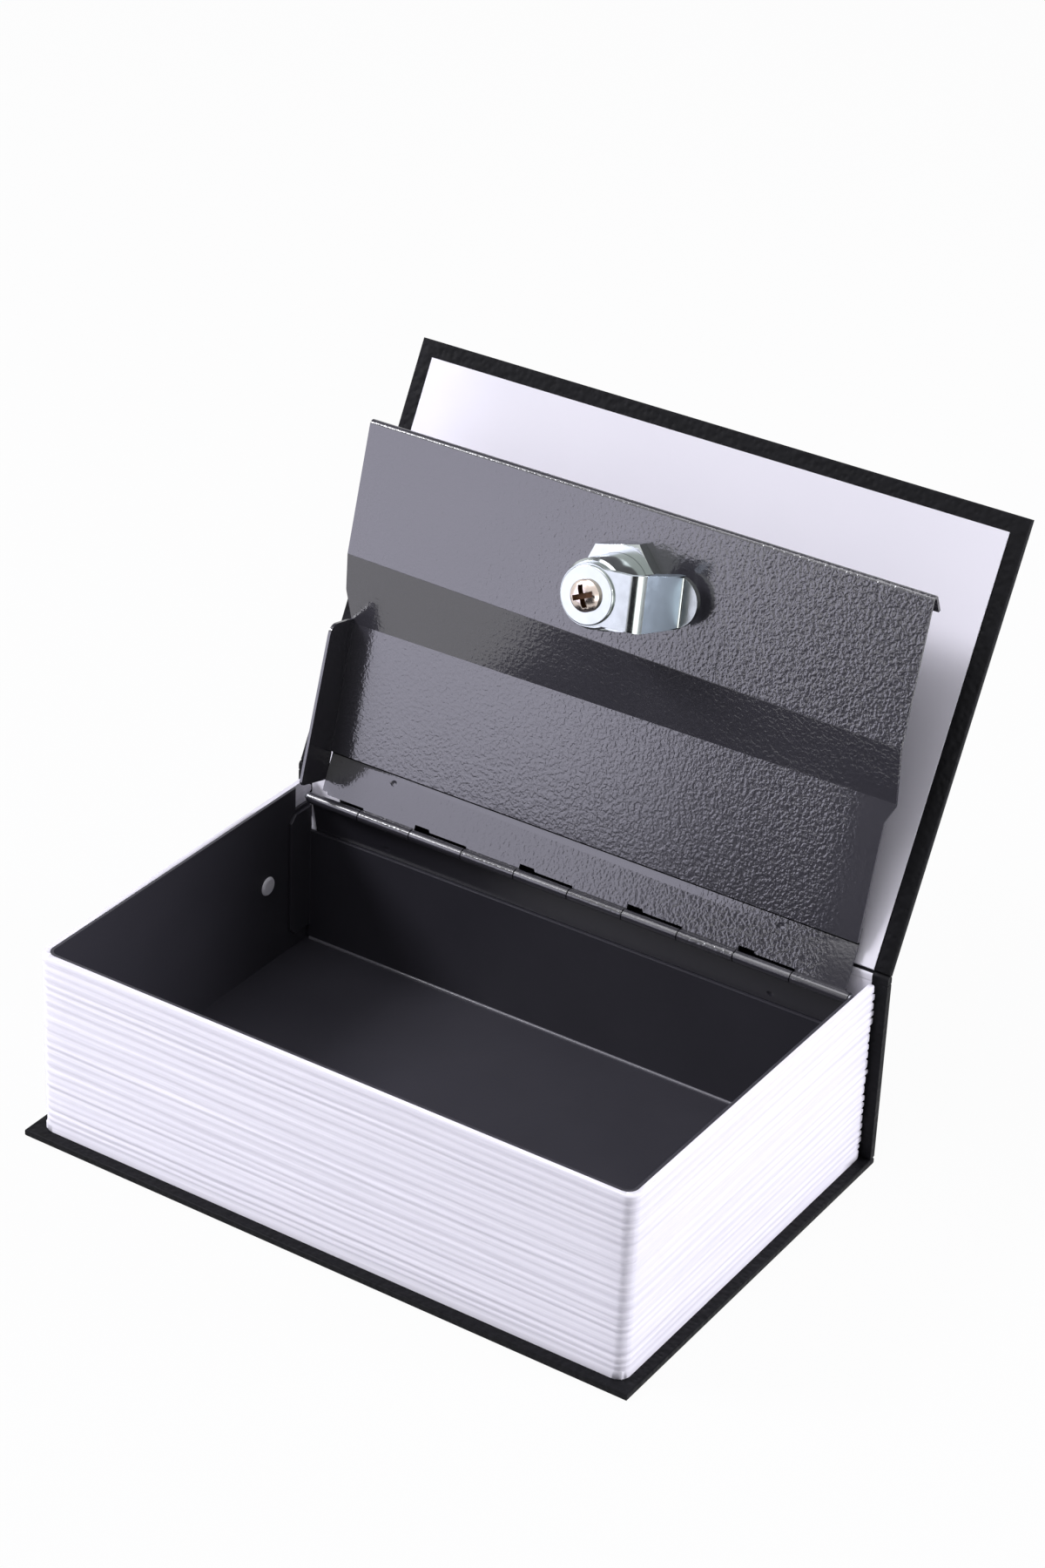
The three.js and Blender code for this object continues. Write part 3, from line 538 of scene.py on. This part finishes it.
class BOOKSAFE_OT_steel(bpy.types.Operator):
    """Tray, back plate, lid and piano hinge in folded sheet steel"""

    bl_idname = "book_safe.steel"
    bl_label = "Steel box"

    def execute(self, context):
        soften = context.scene.book_safe_finishes.edge_softness
        satin = finish("tray_satin_paint")
        gloss = finish("hinge_gloss_paint")
        powder = finish("lid_powder_coat")
        for node, coat in (("tray_pan", satin), ("back_plate", satin), ("hinge_leaf_box", gloss)):
            dress(recut(node, soften), f"{node}_steel", "box", coat, (node,))
        dress(recut("lid_panel", soften), "lid_panel_steel", "lid", powder, ("lid_panel",))
        self.lid_leaf(soften)
        paint("hinge_pin", finish("wire_drawn"))
        self.seam(finish("seam_painted_highlight"))
        return {"FINISHED"}

    def lid_leaf(self, soften):
        """The hinge leaf of the lid, with a painted shade line where the lid's panel laps it."""
        powder = finish("leaf_powder_coat")
        shade = (LID_LAP - LAP_SHADE, LID_LAP)
        up_the_lid = ON_LID.to_3x3() @ Vector((0, 1, 0))
        leaf = recut("hinge_leaf_lid", soften)
        cut_at(leaf, [ON_LID @ Vector((0, place, 0)) for place in shade], up_the_lid)
        dress(leaf, "hinge_leaf_lid_steel", "lid", powder, ("hinge_leaf_lid",))
        to_lid = ON_LID.inverted()
        # Painted shade: the leaf's strip just under the panel's edge gets the dark lap colour
        tint_faces(leaf, finish("lap_painted_shade"), lambda point: within((to_lid @ point)[1], shade))

    def seam(self, material):
        """The rounded line of paint that fills the corner between the tray floor and the back plate,
        coloured paler as a painted highlight.
        """
        low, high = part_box("back_plate")
        radius = 0.55 * MM
        gap = 0.05 * MM
        clear = 0.01 * MM
        middle = Vector((0, high[1] - PLATE_STEEL, low[2] - gap))
        length = high[0] - low[0] - 2 * PLATE_STEEL
        bpy.ops.mesh.primitive_cylinder_add(
            vertices=24,
            radius=radius,
            depth=length,
            location=middle,
            rotation=(0, math.pi / 2, 0),
        )
        bead = bpy.context.active_object
        only(bead)
        bpy.ops.object.transform_apply(location=True, rotation=True, scale=True)
        corner = middle + Vector((0, -clear, clear))
        bpy.ops.object.mode_set(mode="EDIT")
        for normal in ((0, 1, 0), (0, 0, -1)):
            bpy.ops.mesh.select_all(action="SELECT")
            bpy.ops.mesh.bisect(plane_co=corner, plane_no=normal, use_fill=True, clear_outer=True)
        bpy.ops.object.mode_set(mode="OBJECT")
        shade_smooth(bead, 40)
        dress(bead, "floor_seam", "box", material)


def along_lock(point):
    """How far out a point lies on the lock's axis."""
    return (point - LOCK_PLACE).dot(LOCK_AXIS)


def outermost(obj):
    """Where the outer end of a piece lies on the lock's axis."""
    return max(along_lock(vertex.co) for vertex in obj.data.vertices)


class BOOKSAFE_OT_lock(bpy.types.Operator):
    """Cam lock: housing, nut, plug, wafers, cam and its fixings"""

    bl_idname = "book_safe.lock"
    bl_label = "Cam lock"

    def execute(self, context):
        for node, body, soften in (
            ("lock_housing", "lid", 0.15 * MM),
            ("lock_nut", "lid", 0.2 * MM),
            ("cam_washer", "cam_and_plug", 0.12 * MM),
        ):
            self.plate(node, body, soften, "zinc_bright", "bright_zinc")
        self.paint_leg_reflection(self.plate("cam", "cam_and_plug", 0.25 * MM, "zinc_cam", "bright_zinc"))
        self.paint_recess_shade(self.plate("cam_screw", "cam_and_plug", 0.12 * MM, "zinc_yellow", "yellow_zinc"))
        for node in frame["nodes"]:
            if node.startswith("wafer") or node == "lock_plug":
                paint(node, finish("brass_machined"))
        return {"FINISHED"}

    def plate(self, node, body, soften, coat, slot):
        """A plated copy of one of the lock's pieces."""
        piece = recut(node, soften)
        dress(piece, f"{node}_plated", body, finish(coat), (node,))
        return piece

    def paint_leg_reflection(self, cam):
        """Painted reflection: a bluer, hazier zinc on the leg that steps down to the cam's foot, for what
        the leg mirrors.
        """
        depth = (3 * MM, 12 * MM)
        span = (13.5 * MM, 18.5 * MM)
        top = outermost(cam)

        def on_leg(point):
            return within(top - along_lock(point), depth) and within(point[0], span)

        tint_faces(cam, finish("cam_leg_painted_reflection"), on_leg)

    def paint_recess_shade(self, screw):
        """The darker bronze walls of the screw's cross recess: the plating's yellow tint, with painted shade
        for the recess.
        """
        depth = (0.4 * MM, 1.9 * MM)
        reach = 2.9 * MM
        top = outermost(screw)

        def in_recess(point):
            height = along_lock(point)
            radius = (point - LOCK_PLACE - LOCK_AXIS * height).length
            return radius < reach and within(top - height, depth)

        tint_faces(screw, finish("recess_painted_shade"), in_recess)


# Camera, lights and floor

LAMP_COLOUR = "#f9f8ff"
DAYLIGHT_CARD = "#eeecff"
PALE_CARD = "#f4f3f6"
BLACK_CARD = "#1a1a1d"
UP = (0, 0, 1)
BACK = (0, 1, 0)

# Height of the cards that lie on the floor
LYING = 3 * MM

# The photograph's perspective, fitted to points measured on the book
CAMERA_PLACE = (0.441779, -0.672983, 0.565908)
CAMERA_FORWARD = (-0.46478597, 0.73205985, -0.4980586)
CAMERA_ROLL = math.radians(2.38)
CAMERA_LENS = 88.75
CAMERA_SENSOR = 36
CAMERA_SHIFT = (0.0062, 0.0087)
CAMERA_CLIP = (0.05, 20)


def aim(obj, target):
    obj.rotation_euler = (Vector(target) - obj.location).to_track_quat("-Z", "Y").to_euler()


def soft_light(name, place, target, size, power):
    """A rectangular softbox that points at a target."""
    light = bpy.data.lights.new(name, "AREA")
    light.shape = "RECTANGLE"
    light.size, light.size_y = size
    light.energy = power
    light.color = linear(LAMP_COLOUR)[:3]
    lamp = bpy.data.objects.new(name, light)
    lamp.location = place
    aim(lamp, target)
    bpy.context.scene.collection.objects.link(lamp)
    return lamp


def card(name, place, facing, size, colour, strength):
    """A studio card that only glossy surfaces see: it gives them a bright or a dark side."""
    bpy.ops.mesh.primitive_plane_add(size=1, location=place)
    plane = bpy.context.active_object
    plane.name = name
    plane.scale = (*size, 1)
    plane.rotation_euler = Vector(facing).to_track_quat("Z", "Y").to_euler()
    plane.visible_camera = False
    plane.visible_diffuse = False
    plane.visible_shadow = False
    plane.visible_transmission = False
    material = new_material(name)
    tree = material.node_tree
    show(tree, add_node(tree, "ShaderNodeEmission", {"Color": linear(colour), "Strength": strength}))
    plane.data.materials.append(material)


def seen_directly(tree):
    """1 for rays that reach a surface straight from the camera, a mirror or glass."""
    rays = add_node(tree, "ShaderNodeLightPath").outputs
    seen = rays["Is Camera Ray"]
    for ray in ("Is Glossy Ray", "Is Transmission Ray"):
        seen = add_node(tree, "ShaderNodeMath", {"operation": "MAXIMUM"}, {0: seen, 1: rays[ray]}).outputs[0]
    return seen


class BOOKSAFE_OT_stage(bpy.types.Operator):
    """Camera at the photograph's angle, pale floor and soft studio light"""

    bl_idname = "book_safe.stage"
    bl_label = "Stage"

    def execute(self, context):
        self.camera(context.scene)
        self.world(context.scene)
        self.floor()
        self.lamps()
        self.left_cards()
        self.other_cards()
        return {"FINISHED"}

    def camera(self, scene):
        data = bpy.data.cameras.new("photo_camera")
        data.lens = CAMERA_LENS
        data.sensor_width = CAMERA_SENSOR
        data.shift_x, data.shift_y = CAMERA_SHIFT
        data.clip_start, data.clip_end = CAMERA_CLIP
        camera = bpy.data.objects.new("photo_camera", data)
        forward = Vector(CAMERA_FORWARD).normalized()
        level = forward.cross(Vector(UP)).normalized()
        upright = level.cross(forward)
        right = level * math.cos(CAMERA_ROLL) + upright * math.sin(CAMERA_ROLL)
        up = upright * math.cos(CAMERA_ROLL) - level * math.sin(CAMERA_ROLL)
        turn = Matrix((right, up, -forward)).transposed().to_4x4()
        camera.matrix_world = Matrix.Translation(CAMERA_PLACE) @ turn
        scene.collection.objects.link(camera)
        scene.camera = camera

    def world(self, scene):
        """Even light from all round, and plain white where it is seen."""
        white = (1, 1, 1, 1)
        world = bpy.data.worlds.new("studio")
        scene.world = world
        world.use_nodes = True
        tree = world.node_tree
        tree.nodes.clear()
        lit = add_node(tree, "ShaderNodeBackground", {"Color": white, "Strength": 0.29}).outputs[0]
        seen = add_node(tree, "ShaderNodeBackground", {"Color": white, "Strength": 1.0}).outputs[0]
        mix = add_node(tree, "ShaderNodeMixShader", {}, {0: seen_directly(tree), 1: lit, 2: seen})
        add_node(tree, "ShaderNodeOutputWorld", {}, {"Surface": mix.outputs[0]})

    def floor(self):
        """Pale floor: almost white where it is seen, with a trace of the object's shadow."""
        white_share = 0.96
        bpy.ops.mesh.primitive_plane_add(size=8, location=(0, 0, 0))
        plane = bpy.context.active_object
        plane.name = "floor"
        material = new_material("floor_paper")
        tree = material.node_tree
        matt = add_node(tree, "ShaderNodeBsdfDiffuse", {"Color": linear("#b8b8bc")}).outputs[0]
        white = add_node(tree, "ShaderNodeEmission", {"Color": (1, 1, 1, 1), "Strength": 1.0}).outputs[0]
        portion = {"operation": "MULTIPLY", 1: white_share}
        share = add_node(tree, "ShaderNodeMath", portion, {0: seen_directly(tree)}).outputs[0]
        show(tree, add_node(tree, "ShaderNodeMixShader", {}, {0: share, 1: matt, 2: white}))
        plane.data.materials.append(material)

    def lamps(self):
        soft_light("softbox_upper_left", (-1.3, -0.75, 1.35), (0, 0, 0.05), (0.6, 0.6), power=31.5)
        soft_light("softbox_right", (1.05, 0.46, 0.45), (0, 0, 0.04), (0.45, 0.45), power=14.5)
        fill = soft_light("fill_front_left", (-0.27, -0.37, 0.035), (-0.05, 0, 0.03), (0.3, 0.06), power=0.6)
        fill.visible_glossy = False
        fill.visible_camera = False
        soft_light("softbox_top", (-0.2, -0.2, 1.4), (0, 0, 0), (0.9, 0.9), power=6)

    def left_cards(self):
        """The bright and grey things that the lid and its hinge leaf mirror."""
        left = (-0.768, -0.837, 0.27)
        card("card_bright_left", left, (0.8, 0.87, -0.16), (0.9, 0.7), DAYLIGHT_CARD, 2.55)
        card("card_bright_floor", (-0.7, -0.62, LYING), UP, (0.7, 0.7), DAYLIGHT_CARD, 2.2)
        card("card_grey_side", (-0.45, -0.11, LYING), UP, (0.7, 0.32), PALE_CARD, 1.1)
        card("card_grey_front", (-0.36, -0.985, 0.21), BACK, (0.24, 0.09), PALE_CARD, 2.2)

    def other_cards(self):
        """The dark ones that the band and the lid's right end mirror, and those of the lock."""
        card("card_dark_front", (0.12, -1.0, 0.22), BACK, (1.2, 0.6), BLACK_CARD, 1)
        card("card_dark_floor", (0.05, -0.65, LYING), UP, (0.8, 0.75), BLACK_CARD, 1)
        card("card_right", (0.65, 0.2, 4 * MM), UP, (0.6, 0.8), "#8592a4", 1)
        card("card_white_right", (0.95, -0.6, 0.2), (-0.82, 0.57, 0), (0.8, 0.5), "#ffffff", 3)
        card("card_dark_top", (-0.55, 0.42, 0.95), (0.5, -0.35, -0.8), (0.7, 0.7), "#55555c", 1)


class BOOKSAFE_PT_panel(bpy.types.Panel):
    """The safe's colours and sizes, and a button for each step"""

    bl_idname = "BOOKSAFE_PT_panel"
    bl_label = "Book diversion safe"
    bl_space_type = "VIEW_3D"
    bl_region_type = "UI"
    bl_category = "Book safe"

    def draw(self, context):
        for name in BookSafeFinishes.__annotations__:
            self.layout.prop(context.scene.book_safe_finishes, name)
        for step in STEPS:
            self.layout.operator(step.bl_idname)


STEPS = (
    BOOKSAFE_OT_materials,
    BOOKSAFE_OT_boards,
    BOOKSAFE_OT_shell,
    BOOKSAFE_OT_steel,
    BOOKSAFE_OT_lock,
    BOOKSAFE_OT_stage,
)
CLASSES = (BookSafeFinishes, *STEPS, BOOKSAFE_PT_panel)


def register():
    for each in CLASSES:
        bpy.utils.register_class(each)
    bpy.types.Scene.book_safe_finishes = bpy.props.PointerProperty(type=BookSafeFinishes)


def unregister():
    del bpy.types.Scene.book_safe_finishes
    for each in reversed(CLASSES):
        bpy.utils.unregister_class(each)


def main():
    register()
    bpy.context.scene.view_settings.view_transform = "Standard"
    bpy.ops.book_safe.materials()
    bpy.ops.book_safe.boards()
    bpy.ops.book_safe.shell()
    bpy.ops.book_safe.steel()
    bpy.ops.book_safe.lock()
    bpy.ops.book_safe.stage()


if __name__ == "__main__":
    main()
